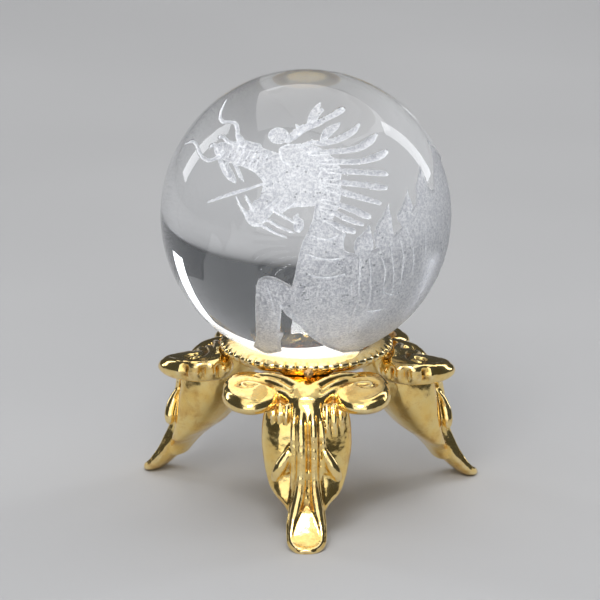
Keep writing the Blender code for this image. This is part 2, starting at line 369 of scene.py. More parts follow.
FINS = (
    (
        ((0.37, -0.34), (0.32, -0.25), (0.33, -0.175), (0.38, -0.13), (0.42, -0.07)),
        ((0.43, -0.11), (0.445, -0.17), (0.45, -0.22), (0.44, -0.33)),
    ),
    (
        ((0.51, -0.29), (0.455, -0.19), (0.46, -0.1), (0.51, -0.01), (0.555, 0.07)),
        ((0.56, 0.02), (0.575, -0.04), (0.58, -0.1), (0.61, -0.21)),
    ),
    (
        ((0.68, -0.14), (0.61, -0.03), (0.63, 0.03), (0.655, 0.085), (0.68, 0.175)),
        ((0.69, 0.125), (0.715, 0.06), (0.72, 0.01), (0.76, -0.06)),
    ),
    (
        ((0.75, -0.03), (0.74, 0.09), (0.735, 0.175), (0.75, 0.25), (0.765, 0.335)),
        ((0.785, 0.28), (0.815, 0.21), (0.84, 0.175), (0.9, 0.1)),
    ),
    (
        ((0.87, 0.08), (0.86, 0.19), (0.86, 0.3), (0.855, 0.4), (0.815, 0.52)),
        ((0.9, 0.42), (0.96, 0.33), (1.0, 0.2)),
    ),
    (
        ((1.0, 0.24), (0.95, 0.37), (0.91, 0.5), (0.855, 0.645)),
        ((0.94, 0.545), (1.0, 0.45), (1.07, 0.33)),
    ),
    (
        ((1.06, 0.4), (0.98, 0.53), (0.9, 0.68), (0.8, 0.8)),
        ((0.89, 0.73), (0.99, 0.65), (1.13, 0.53)),
    ),
)
ANTLER_TINES = (
    (
        ((0.0, 0.615), (0.02, 0.68), (0.055, 0.725), (0.095, 0.76)),
        ((0.095, 0.73), (0.09, 0.71)),
        ((0.105, 0.715), (0.12, 0.7)),
        ((0.095, 0.67), (0.07, 0.635), (0.045, 0.615)),
    ),
    (
        ((0.085, 0.49), (0.105, 0.55), (0.15, 0.59), (0.23, 0.62)),
        ((0.22, 0.585), (0.185, 0.545), (0.125, 0.49)),
    ),
)
TUSHES = (
    (
        ((-0.61, 0.385), (-0.585, 0.32), (-0.56, 0.265), (-0.525, 0.225), (-0.475, 0.2)),
        ((-0.475, 0.235), (-0.495, 0.28), (-0.52, 0.32), (-0.53, 0.37)),
    ),
    (
        ((-0.54, 0.36), (-0.5, 0.335), (-0.475, 0.28), (-0.455, 0.24), (-0.42, 0.21)),
        ((-0.435, 0.26), (-0.455, 0.31), (-0.46, 0.35)),
    ),
)
GOATEE = (
    ((-0.09, -0.02), (-0.06, 0.0), (-0.045, -0.03), (-0.02, -0.05), (-0.02, -0.1)),
    ((-0.05, -0.13), (-0.085, -0.11), (-0.09, -0.06), (-0.09, -0.02)),
)

# Each stroke is a list of (across, up, half width).
MANE = (
    (
        (0.02, 0.405, 0.012), (0.125, 0.415, 0.02), (0.26, 0.425, 0.021), (0.35, 0.445, 0.025),
        (0.43, 0.495, 0.027), (0.47, 0.535, 0.012),
    ),
    (
        (0.095, 0.35, 0.012), (0.205, 0.35, 0.02), (0.34, 0.35, 0.021), (0.43, 0.37, 0.025),
        (0.495, 0.395, 0.028), (0.535, 0.42, 0.019),
    ),
    (
        (0.125, 0.29, 0.012), (0.245, 0.285, 0.021), (0.36, 0.28, 0.02), (0.465, 0.275, 0.022),
        (0.535, 0.27, 0.018),
    ),
    (
        (0.105, 0.22, 0.012), (0.215, 0.21, 0.019), (0.37, 0.195, 0.021), (0.475, 0.18, 0.024),
        (0.535, 0.175, 0.015),
    ),
    (
        (0.105, 0.18, 0.012), (0.215, 0.15, 0.022), (0.34, 0.115, 0.021), (0.445, 0.085, 0.018),
        (0.495, 0.07, 0.013),
    ),
    (
        (0.105, 0.085, 0.012), (0.205, 0.06, 0.018), (0.31, 0.025, 0.022), (0.39, -0.01, 0.024),
        (0.42, -0.02, 0.018),
    ),
    ((0.085, 0.04, 0.012), (0.185, 0.005, 0.018), (0.28, -0.04, 0.02), (0.375, -0.075, 0.011)),
    ((0.07, -0.02, 0.012), (0.145, -0.05, 0.016), (0.235, -0.095, 0.021), (0.315, -0.12, 0.019)),
)
ANTLERS = (
    (
        (-0.125, 0.49, 0.02), (-0.09, 0.525, 0.032), (-0.04, 0.565, 0.033), (0.01, 0.59, 0.03),
        (0.07, 0.61, 0.026), (0.125, 0.64, 0.022), (0.185, 0.67, 0.022), (0.23, 0.7, 0.026),
        (0.245, 0.71, 0.018),
    ),
    ((-0.05, 0.565, 0.02), (-0.07, 0.6, 0.008)),
    (
        (-0.05, 0.455, 0.01), (0.03, 0.48, 0.016), (0.105, 0.475, 0.022), (0.195, 0.495, 0.024),
        (0.27, 0.53, 0.025), (0.32, 0.565, 0.021), (0.355, 0.605, 0.009),
    ),
)
WHISKERS = (
    (
        (-0.44, 0.485, 0.03), (-0.465, 0.53, 0.018), (-0.47, 0.58, 0.014), (-0.485, 0.615, 0.014),
        (-0.525, 0.625, 0.014), (-0.565, 0.625, 0.014), (-0.585, 0.65, 0.013), (-0.585, 0.685, 0.012),
        (-0.57, 0.73, 0.01), (-0.545, 0.785, 0.004),
    ),
    (
        (-0.575, 0.415, 0.022), (-0.61, 0.38, 0.016), (-0.645, 0.365, 0.014), (-0.675, 0.365, 0.014),
        (-0.705, 0.385, 0.014), (-0.73, 0.425, 0.013), (-0.745, 0.465, 0.013), (-0.765, 0.49, 0.012),
        (-0.785, 0.495, 0.012), (-0.825, 0.48, 0.004),
    ),
    (
        (-0.585, 0.52, 0.016), (-0.565, 0.52, 0.013), (-0.53, 0.49, 0.012), (-0.48, 0.47, 0.01),
        (-0.42, 0.45, 0.006),
    ),
    ((-0.645, 0.46, 0.017), (-0.615, 0.465, 0.014), (-0.59, 0.435, 0.013), (-0.575, 0.415, 0.012)),
)
JAW = (
    ((-0.29, 0.2, 0.007), (-0.4, 0.165, 0.011), (-0.55, 0.12, 0.012), (-0.665, 0.08, 0.007)),
    ((-0.475, 0.115, 0.004), (-0.45, 0.06, 0.008), (-0.41, 0.0, 0.016)),
    ((-0.41, 0.12, 0.006), (-0.385, 0.07, 0.012), (-0.36, 0.02, 0.012)),
    ((-0.33, -0.075, 0.01), (-0.28, -0.09, 0.011), (-0.22, -0.125, 0.01), (-0.14, -0.16, 0.006)),
    ((-0.3, -0.05, 0.01), (-0.25, -0.05, 0.01), (-0.18, -0.09, 0.01), (-0.09, -0.13, 0.006)),
    ((-0.24, 0.03, 0.01), (-0.17, -0.01, 0.01), (-0.11, -0.045, 0.01), (-0.07, -0.07, 0.008)),
)
ELLIPSE_POINTS = 14
EYE = (-0.19, 0.524, 0.07, 0.057)  # across, up, and its half width and half height
BROW = (-0.115, 0.399, 0.065, 0.065)

# Lines engraved into the ground areas.
ENGRAVED = (
    ((0.36, -0.29), (0.36, -0.43), (0.35, -0.59), (0.315, -0.68), (0.295, -0.8)),
    ((0.425, -0.31), (0.435, -0.43), (0.43, -0.58), (0.41, -0.64), (0.445, -0.66), (0.515, -0.65)),
    ((0.495, -0.26), (0.535, -0.38), (0.525, -0.52), (0.585, -0.55)),
    ((0.57, -0.2), (0.59, -0.37), (0.59, -0.53)),
    ((0.635, -0.16), (0.66, -0.3), (0.64, -0.47)),
    ((0.67, -0.09), (0.715, -0.19), (0.73, -0.3), (0.725, -0.42)),
    ((0.76, 0.02), (0.805, -0.1), (0.815, -0.24), (0.795, -0.38)),
    ((0.855, 0.075), (0.915, -0.08), (0.925, -0.26)),
    ((0.95, 0.23), (0.985, 0.0), (0.95, -0.25)),
    ((0.965, 0.27), (1.005, 0.0), (0.96, -0.31)),
    ((0.99, 0.34), (1.045, 0.06), (1.02, -0.25), (0.95, -0.45)),
    ((1.01, 0.45), (1.09, 0.2), (1.1, -0.1), (1.04, -0.38)),
    ((1.0, 0.56), (1.13, 0.3), (1.19, 0.04)),
    ((0.96, 0.69), (1.09, 0.5), (1.19, 0.26)),
    ((0.01, -0.275), (0.08, -0.3), (0.155, -0.31), (0.215, -0.305)),
    ((-0.01, -0.405), (0.08, -0.43), (0.175, -0.43), (0.26, -0.41)),
    ((0.04, -0.15), (0.095, -0.17), (0.165, -0.17), (0.205, -0.15)),
    ((0.3, -0.47), (0.305, -0.55)),
    ((-0.27, -0.5), (-0.24, -0.58), (-0.22, -0.68)),
    ((0.085, 0.3), (0.105, 0.315), (0.12, 0.3)),
    ((0.085, 0.27), (0.095, 0.29)),
    ((-0.6, 0.425), (-0.575, 0.36), (-0.54, 0.28)),
    ((-0.235, 0.035), (-0.19, 0.075), (-0.13, 0.125)),
    ((-0.3, 0.02), (-0.24, 0.07), (-0.2, 0.105)),
    ((-0.16, 0.01), (-0.12, 0.04), (-0.08, 0.075)),
)
SNOUT_RIBS = 7
SNOUT_START = (-0.5, 0.46)
SNOUT_SPREAD = (0.235, -0.065)  # from the first rib to the last
SNOUT_SLANT = (-0.45, -0.9)
SNOUT_LENGTHS = (0.075, 0.105)  # at the ends and in the middle, along the slant


def lift(drawn):
    """Points of the drawing as directions from the ball's centre, in the carving's own axes."""
    drawn = np.asarray(drawn, float)
    reach = np.linalg.norm(drawn, axis=1)
    sine = np.minimum(np.where(reach > 1, 2 - reach, reach), 1.0)
    cosine = np.where(reach > 1, -1.0, 1.0) * np.sqrt(1 - sine**2)
    return np.column_stack([unit(drawn) * sine[:, None], cosine])


def spread(directions):
    """Directions laid out flat: the angle from the drawing's middle becomes a length, in millimetres."""
    angle = np.arccos(np.clip(directions[:, 2], -1, 1))
    return BALL_RADIUS * angle[:, None] * unit(directions[:, :2])


def outline_of(runs):
    """A closed outline, laid out flat, from its runs."""
    drawn, corner = [], ()
    for run in runs:
        drawn.append(through((*corner, *run), steps=5)[:-1])
        corner = run[-1:]
    return spread(lift(np.vstack(drawn)))


def ellipse(shape):
    """An ellipse of the drawing as the single run of an outline."""
    x, y, width, height = shape
    turns = [math.tau * i / ELLIPSE_POINTS for i in range(ELLIPSE_POINTS + 1)]
    return (tuple((x + width * math.cos(a), y + height * math.sin(a)) for a in turns),)


def snout_ribs():
    """The short slanted ribs along the snout, as engraved lines."""
    ribs = []
    shortest, longest = SNOUT_LENGTHS
    for index in range(SNOUT_RIBS):
        share = index / (SNOUT_RIBS - 1)
        top = np.array(SNOUT_START) + share * np.array(SNOUT_SPREAD)
        length = shortest + (longest - shortest) * math.sin(math.pi * share)
        ribs.append((top, top + length * np.array(SNOUT_SLANT)))
    return ribs


def near_path(solid, path):
    """Which points lie near a path, or inside the round space that it fills."""
    middle = path.mean(0)
    reach = np.linalg.norm(path - middle, axis=1).max() + NEARBY
    return np.linalg.norm(solid - middle, axis=1) < reach


def carving(directions):
    """What the carving does at each direction from the ball's centre.

    Returns how far inside the frosted areas each point is, how deep it is ground, and how near it is to
    a crisp edge or line, where a white highlight is painted into the frost.
    """
    flat, solid = spread(directions), BALL_RADIUS * directions
    inside = np.full(len(directions), -FAR)
    for area in (HEAD, BODY, GOATEE, ellipse(EYE), *FINS, *ANTLER_TINES, *TUSHES):
        outline = outline_of(area)
        near = np.all((flat > outline.min(0) - NEARBY) & (flat < outline.max(0) + NEARBY), axis=1)
        inside[near] = np.maximum(inside[near], inside_distance(flat[near], outline))
    edge = np.where(inside > 0, inside + OUTLINE_FAINTNESS, FAR)
    depth = GROUND_DEPTH * step(inside, 0, GROUND_SLOPE)
    for stroke in (*MANE, *ANTLERS, *WHISKERS, *JAW):
        path = through(stroke, steps=5)
        line = BALL_RADIUS * lift(path[:, :2])
        half = BALL_RADIUS * path[:, 2]
        near = near_path(solid, line)
        distance, place = line_distance(solid[near], line)
        width = np.interp(place, np.arange(len(half)), half)
        margin = width - distance
        profile = np.sqrt(np.clip(1 - (distance / width) ** 2, 0, 1))
        inside[near] = np.maximum(inside[near], margin)
        edge[near] = np.minimum(edge[near], np.where(margin > -STROKE_RIM, np.abs(margin), FAR))
        depth[near] = np.maximum(depth[near], STROKE_DEPTH * width * profile)
    brow = inside_distance(flat, outline_of(ellipse(BROW)))
    edge = np.minimum(edge, np.where(flat[:, 0] < BALL_RADIUS * BROW[0], np.abs(brow), FAR))
    depth += BROW_DEPTH * step(brow, 0, BROW_SLOPE)
    for line in (*ENGRAVED, *snout_ribs()):
        path = BALL_RADIUS * lift(through(line, steps=4) if len(line) > 2 else line)
        near = near_path(solid, path)
        distance, _ = line_distance(solid[near], path)
        distance[inside[near] < 0] = FAR
        edge[near] = np.minimum(edge[near], distance + LINE_FAINTNESS)
        depth[near] += LINE_DEPTH * np.exp(-((distance / LINE_WIDTH) ** 2))
    return inside, np.where(inside > 0, depth, 0), edge


def refined(points, faces, chosen):
    """Splits the chosen triangles in four and their neighbours to match, on the unit sphere."""
    pairs = np.sort(faces[:, [[0, 1], [1, 2], [2, 0]]].reshape(-1, 2), axis=1)
    edges, where = np.unique(pairs, axis=0, return_inverse=True)
    where = where.reshape(-1, 3)
    split = np.zeros(len(edges), bool)
    split[where[chosen].ravel()] = True
    middle = np.full(len(edges), -1)
    middle[split] = len(points) + np.arange(split.sum())
    points = np.vstack([points, unit(points[edges[split]].mean(axis=1))])
    count = split[where].sum(axis=1)
    result = [faces[count == 0]]
    for turn in range(3):
        order = [(turn + k) % 3 for k in range(3)]
        a, b, c = (faces[:, k] for k in order)
        ab, bc, ca = (middle[where[:, k]] for k in order)
        one = (count == 1) & (ab >= 0)
        result += [np.stack(t, 1)[one] for t in ((a, ab, c), (ab, b, c))]
        two = (count == 2) & (ca < 0)
        result += [np.stack(t, 1)[two] for t in ((ab, b, bc), (a, ab, bc), (a, bc, c))]
        if turn == 0:
            four = count == 3
            result += [np.stack(t, 1)[four] for t in ((a, ab, ca), (ab, b, bc), (bc, c, ca), (ab, bc, ca))]
    return points, np.vstack(result)


def ball_mesh():
    """The glass ball, finely divided where it is carved.

    The material reads frost, which is how far a point is inside the ground areas, in millimetres, and
    how strongly a white highlight is painted there: 1 on an edge or line and 0 away from it.
    """
    points, faces = unit_sphere(BASE_SUBDIVISIONS)
    points = unit(points)
    for margin in FINE_MARGINS:
        inside, _, _ = carving(points @ CARVE_AXES.T)
        points, faces = refined(points, faces, inside[faces].max(axis=1) > -margin)
    inside, _, edge = carving(points @ CARVE_AXES.T)
    crisp = np.minimum(np.abs(inside), edge)
    points, faces = refined(points, faces, crisp[faces].min(axis=1) < CRISP_MARGIN)
    inside, depth, edge = carving(points @ CARVE_AXES.T)
    mesh = new_mesh("ball", points * (BALL_RADIUS - depth)[:, None], faces)
    give(mesh, "frost", np.clip(inside, -FROST_LIMIT, FROST_LIMIT))
    # painted highlight along the carving's edges and lines, stored for the material
    give(mesh, "edge_highlight", np.exp(-((edge / EDGE_HIGHLIGHT_WIDTH) ** 2)))
    return mesh


def crystal():
    """Clear polished glass that turns white and grainy where it is ground, with a white highlight painted
    along the carving's edges and lines.
    """
    m = Nodes("crystal")
    grain = m.blend(0.5, m.noise(0.12, 2.0, 0.6), m.noise(0.27, 2.0, 0.6))
    speckle = m.ramp(grain, 0.42, 0.58)
    cloud = m.ramp(m.noise(2.2, 3.0, 0.6), 0.35, 0.65)
    ragged = m.ramp(m.noise(0.2, 2.0), 0.3, 0.7, -0.03, 0.03)
    frost = m.ramp(m.maths("ADD", m.attribute("frost"), ragged), -0.015, 0.015)
    pits = m.times(m.ramp(m.cells(0.6), 0.12, 0.2, 1.0, 0.0), m.ramp(m.noise(1.9, 1.0), 0.46, 0.56))
    # painted highlight: the carving's edges and lines are made whiter and more milky, standing in for light
    # caught by the groove walls
    edge_highlight = m.times(m.attribute("edge_highlight"), m.ramp(m.noise(0.3, 2.0), 0.3, 0.6, 0.3, 1.0))
    milky = m.maths("ADD", m.ramp(cloud, 0, 1, 0.34, 0.46), m.times(speckle, 0.34))
    milky = m.maths("ADD", milky, m.times(edge_highlight, 0.6), clamp=True)
    milky = m.times(milky, m.ramp(pits, 0, 1, 1.0, 0.15))
    m.link(m.maths("SUBTRACT", 1.0, m.times(milky, frost)), "Transmission Weight")
    m.link(m.blend(frost, 0.004, m.ramp(speckle, 0, 1, 0.38, 0.6)), "Roughness")
    white = m.colours(m.maths("MAXIMUM", speckle, edge_highlight), rgb(0.56, 0.58, 0.64), rgb(0.97, 0.98, 1.0))
    white = m.colours(pits, white, rgb(0.35, 0.37, 0.42))
    m.link(m.colours(frost, rgb(0.985, 0.992, 1.0), white), "Base Color")
    relief = m.times(m.maths("SUBTRACT", grain, m.times(pits, 0.8)), frost)
    m.link(m.bump(relief, 0.05, 0.8), "Normal")
    m.set(ior=1.54)
    return m.material


# ---- the ring

RIM_RADIUS = 8.9
RIM_HEIGHT = 0.95
RIM_OVERHANG = 0.75
LIP_RISE = 0.02  # how far the lip stands above the CAD ring's top
RIB_COUNT = 48
RIB_DEPTH = 0.26
RIB_STEPS = 12
RIBBED_RADII = (8.1, 8.6)  # the ribs fade in between these
RIBBED_HEIGHTS = (-0.05, 0.2)  # and these, from the bottom of the rim
CUP_HOLE_RADIUS = 4.6
CUP_DEPTH = 1.35
CUP_WALL = 0.7
SEAT_RADII = (6.6, 6.8, 7.0, 7.12)  # where the cup's inside follows the ball
SEAT_GAP = 0.015  # the ball only just touches the lip
CAST_RADII = (7.2, 7.8)  # the cast skin's unevenness fades in between these
CAST_UNEVENNESS = 0.03


def cup_underside(radius):
    """Height of the ring's underside at a distance from the stand's axis."""
    top = RIM_TOP - RIM_HEIGHT
    width = RIM_RADIUS - RIM_OVERHANG - CUP_HOLE_RADIUS
    share = np.clip((radius - CUP_HOLE_RADIUS) / width, 0, 1)
    return top - CUP_DEPTH * np.sqrt(1 - share**2)


def ring_profile():
    """The ring's outline: lip, rim, rounded underside, and the inside back up along the ball."""
    seat = [(r, BALL_HEIGHT - math.sqrt((BALL_RADIUS + SEAT_GAP) ** 2 - r * r)) for r in SEAT_RADII]
    top = RIM_TOP + LIP_RISE
    lip = [(7.3, top + 0.05), (7.7, top + 0.05), (8.1, top), (8.42, top - 0.09)]
    shoulder = [(8.70, top - 0.24), (8.86, top - 0.42)]
    side = [(RIM_RADIUS, top - 0.6), (8.84, top - 0.78), (8.66, top - 0.92)]
    tuck = [(8.4, top - 0.99), (8.2, top - 1.02)]
    radii = (8.12, 8.0, 7.75, 7.4, 6.9, 6.3, 5.6, 5.0, CUP_HOLE_RADIUS)
    under = [(r, float(cup_underside(r))) for r in radii]
    inner_top = [(r, float(cup_underside(r)) + CUP_WALL) for r in (CUP_HOLE_RADIUS, 5.0, 5.6, 6.2)]
    return seat + lip + shoulder + side + tuck + under + inner_top


def ring_mesh():
    """The turned ring with its milled ribs, which wander and fade a little, and its cast skin."""
    profile = np.array(ring_profile())
    smooth = through(np.vstack([profile, profile[:1]]), steps=2)[:-1]
    around = RIB_COUNT * RIB_STEPS
    angles = math.tau * np.arange(around) / around
    radii = np.repeat(smooth[None, :, 0], around, axis=0)
    heights = np.repeat(smooth[None, :, 1], around, axis=0)
    above = heights - (RIM_TOP - RIM_HEIGHT)
    ribbed = step(radii, *RIBBED_RADII) * step(above, *RIBBED_HEIGHTS)
    wobble = 0.12 * np.sin(angles * 5) + 0.1 * np.sin(angles * 11 + 1)
    scallop = 1 - np.abs(np.sin(angles * RIB_COUNT / 2 + wobble)) ** 0.7
    strength = 0.8 + 0.2 * np.sin(angles * 7 + 2) * np.sin(angles * 3)
    radii = radii - RIB_DEPTH * ribbed * (scallop * strength)[:, None]
    across, out = np.cos(angles)[:, None], np.sin(angles)[:, None]
    points = np.stack([radii * across, radii * out, heights], 2).reshape(-1, 3)
    count = len(smooth)
    i, j = np.meshgrid(np.arange(around), np.arange(count), indexing="ij")
    here, beyond = i * count, (i + 1) % around * count
    up = (j + 1) % count
    faces = np.stack([here + j, here + up, beyond + up, beyond + j], 2).reshape(-1, 4)
    mesh = new_mesh("seat", points, faces)
    outwards(mesh).free()
    points, normals, _ = read(mesh)
    outside = step(np.hypot(points[:, 0], points[:, 1]), *CAST_RADII)
    uneven = CAST_UNEVENNESS * (lumps(points, 1.1, seed=1) + 0.4 * lumps(points, 0.35, seed=2))
    write(mesh, points + normals * (uneven * outside)[:, None])
    give(mesh, "recess", recesses(mesh, rounds=10, scale=0.10))
    return mesh


# ---- the leg casting
# A leg is modelled at the front: +X is tangential, -Y is outwards and +Z is up.

VOXEL = 0.125
SNAP_REACH = 1.3  # how far a fused point may move to the shapes it came from, in voxels
SNAP_AGREEMENT = 0.6  # the least cosine between their normals there
RELAX_ROUNDS = 3
SOLDER_BITE = 0.03  # how far the casting goes into the ring's underside
RIM_CLEARANCE = 0.1  # it is kept under the rim this far past it
OUTLINE_POINTS = 48  # round the broad body and the pads
TRUNK_POINTS = 40

BODY_SQUARENESS = 0.8  # 1 is an ellipse, and less is boxier
# Height, half width, inner radius and outer radius of the leg's broad body.
BODY_STATIONS = (
    (2.2, 1.5, 14.6, 16.4), (3.6, 2.2, 13.6, 15.6), (4.8, 3.4, 12.4, 14.9), (6.4, 4.1, 10.4, 14.4),
    (9.4, 4.6, 8.2, 14.0), (12.4, 4.3, 7.0, 13.2), (15.2, 3.2, 6.4, 10.4),
)
# Radius and height of the trunk's middle, its half width, its half thickness, and how hollow its front is.
TRUNK_STATIONS = (
    (8.4, 14.2, 1.0, 0.7, 0.0), (9.3, 14.4, 1.45, 0.9, 0.0), (10.5, 14.4, 1.65, 1.05, 0.0),
    (12.3, 13.45, 1.65, 1.15, 0.05), (13.7, 11.8, 1.4, 1.1, 0.4), (14.2, 9.4, 1.3, 1.1, 0.5),
    (14.5, 7.0, 1.45, 1.05, 0.5), (14.9, 5.0, 1.65, 1.0, 0.45), (15.6, 3.4, 1.9, 0.95, 0.25),
    (16.7, 1.9, 2.1, 0.85, 0.15), (17.9, 0.7, 2.0, 0.7, 0.15), (18.7, 0.25, 1.5, 0.5, 0.1),
    (19.3, 0.12, 0.7, 0.35, 0.0),
)
VOLUTE_CENTRE = (5.65, 9.9, 13.9)  # tangential, radial, height
VOLUTE_RADII = (3.0, 4.2)
VOLUTE_TILT = math.radians(5)
VOLUTE_TAPER = 0.05  # how much thinner a pad gets for each millimetre outwards
# A pad's outlines from its underside up: the share of its radii, and the height from its middle.
VOLUTE_RINGS = (
    (0.5, -1.15), (0.8, -0.85), (0.95, -0.4), (1.0, 0.05), (0.97, 0.5), (0.88, 0.92), (0.66, 1.22),
    (0.3, 1.35),
)

# A bar's stations give tangential place, radius from the axis, height and half thickness.
BAR_POINTS = 16
CAP_STEPS = (1.0, 0.85, 0.55)  # how far its rounded ends reach, in half thicknesses
CAP_TIP = 0.05  # the radius of the very end
# The bars that both sides have.
PAIRED_BARS = (
    # the scroll's roll, from the nose round the back of the volute and in again at its front
    (
        (0.9, 12.2, 13.7, 0.6), (2.0, 11.0, 14.3, 0.78), (3.4, 9.3, 14.7, 0.82), (4.9, 7.6, 14.8, 0.8),
        (6.3, 6.8, 14.75, 0.74), (7.4, 7.7, 14.65, 0.74), (7.85, 9.6, 14.5, 0.7),
        (7.4, 11.6, 14.3, 0.68), (6.1, 12.9, 14.1, 0.66), (4.6, 12.6, 14.05, 0.6),
        (3.6, 11.5, 14.2, 0.5),
    ),
    # the thin collar under the rim
    ((0.9, 10.3, 15.05, 0.4), (2.2, 9.35, 15.4, 0.46), (3.6, 8.5, 15.5, 0.46), (5.0, 7.7, 15.35, 0.36)),
    # the tusk beside the trunk
    (
        (1.5, 14.1, 9.9, 0.3), (1.9, 14.45, 9.15, 0.5), (2.5, 14.65, 8.1, 0.62), (2.95, 14.65, 7.2, 0.6),
        (3.15, 14.6, 6.7, 0.48),
    ),
    ((1.6, 14.1, 8.9, 0.25), (1.75, 14.4, 8.2, 0.34), (2.05, 14.5, 7.3, 0.3), (2.25, 14.5, 6.9, 0.15)),
)
# The bars that differ from side to side or cross the middle.
SINGLE_BARS = (
    # the arched rim of the nose
    (
        (-1.7, 12.2, 13.75, 0.22), (-1.5, 11.4, 14.5, 0.3), (-0.9, 10.4, 15.05, 0.32),
        (0.0, 9.9, 15.2, 0.34), (0.9, 10.4, 15.05, 0.32), (1.5, 11.4, 14.5, 0.3),
        (1.7, 12.2, 13.75, 0.22),
    ),
    # the two ridges down the trunk, which part round the hollow of the foot
    (
        (-0.45, 12.75, 13.95, 0.32), (-0.56, 14.2, 12.1, 0.54), (-0.5, 14.85, 9.5, 0.57),
        (-0.54, 15.15, 7.1, 0.58), (-0.72, 15.45, 5.3, 0.6), (-1.05, 16.0, 3.8, 0.58),
        (-1.4, 16.85, 2.4, 0.4), (-1.55, 17.85, 1.15, 0.3), (-1.1, 18.7, 0.55, 0.26),
        (0.0, 19.0, 0.4, 0.22),
    ),
    (
        (0.5, 12.75, 13.95, 0.26), (0.68, 14.3, 12.1, 0.42), (0.76, 14.85, 9.5, 0.44),
        (0.78, 15.15, 7.1, 0.45), (0.88, 15.45, 5.3, 0.5), (1.12, 16.0, 3.8, 0.55),
        (1.42, 16.85, 2.4, 0.4), (1.55, 17.85, 1.15, 0.3), (1.1, 18.7, 0.55, 0.26),
        (0.0, 19.0, 0.4, 0.22),
    ),
    # the thin ribs beside them and the one in the groove
    (
        (-1.25, 13.1, 13.5, 0.2), (-1.35, 14.2, 11.6, 0.32), (-1.33, 14.65, 9.4, 0.34),
        (-1.38, 14.9, 7.2, 0.3), (-1.5, 15.1, 5.6, 0.15),
    ),
    (
        (1.25, 13.1, 13.5, 0.2), (1.6, 14.05, 11.6, 0.3), (1.72, 14.45, 9.4, 0.33),
        (1.6, 14.7, 7.8, 0.28), (1.45, 14.9, 6.6, 0.12),
    ),
    ((0.14, 15.25, 7.4, 0.1), (0.1, 15.3, 6.2, 0.17), (0.02, 15.6, 4.9, 0.18), (0.0, 15.85, 4.2, 0.12)),
    # the pleats under the volutes
    ((-2.0, 12.5, 13.6, 0.3), (-2.05, 13.0, 12.9, 0.34), (-2.05, 13.2, 12.1, 0.2)),
    ((-2.7, 12.2, 13.6, 0.3), (-2.75, 12.8, 12.8, 0.36), (-2.75, 12.95, 12.1, 0.2)),
    ((-3.4, 11.9, 13.4, 0.3), (-3.45, 12.5, 12.7, 0.34), (-3.45, 12.6, 12.0, 0.2)),
    ((2.05, 12.5, 13.6, 0.3), (2.1, 13.05, 12.6, 0.34), (2.1, 13.5, 11.2, 0.2)),
    ((2.75, 12.2, 13.6, 0.3), (2.8, 12.85, 12.5, 0.36), (2.85, 13.2, 10.9, 0.22)),
    ((3.4, 11.9, 13.4, 0.3), (3.5, 12.5, 12.4, 0.34), (3.5, 12.8, 10.7, 0.2)),
)
# The groove that winds into the eye of a volute, and the eye, from above: tangential and radial.
SPIRAL = (
    (1.6, 11.5), (2.9, 10.5), (4.0, 9.7), (5.1, 9.15), (6.2, 8.95), (6.95, 9.4), (6.95, 10.1),
    (6.4, 10.6), (5.8, 10.5),
)
EYE_PIT = ((5.45, 9.95), (6.15, 9.85))
PAD_FLUTES = ((7.0, 6.2), (8.15, 7.6), (8.55, 9.6))  # where each upright flute is in a pad's side
FLUTE_HEIGHTS = (13.5, 14.7)
TOP_FACING = (0.1, 0.5)  # a groove seen from above fades in as the surface faces upwards
TOP_HEIGHTS = (12.5, 13.5)  # and between these heights
NOSE_CREASE = ((-0.5, 12.75, 14.35), (0.0, 12.85, 14.42), (0.5, 12.75, 14.35))
FOOT_RECESS = ((-0.3, 16.0, 3.7), (0.0, 15.8, 4.1), (0.3, 16.0, 3.7))


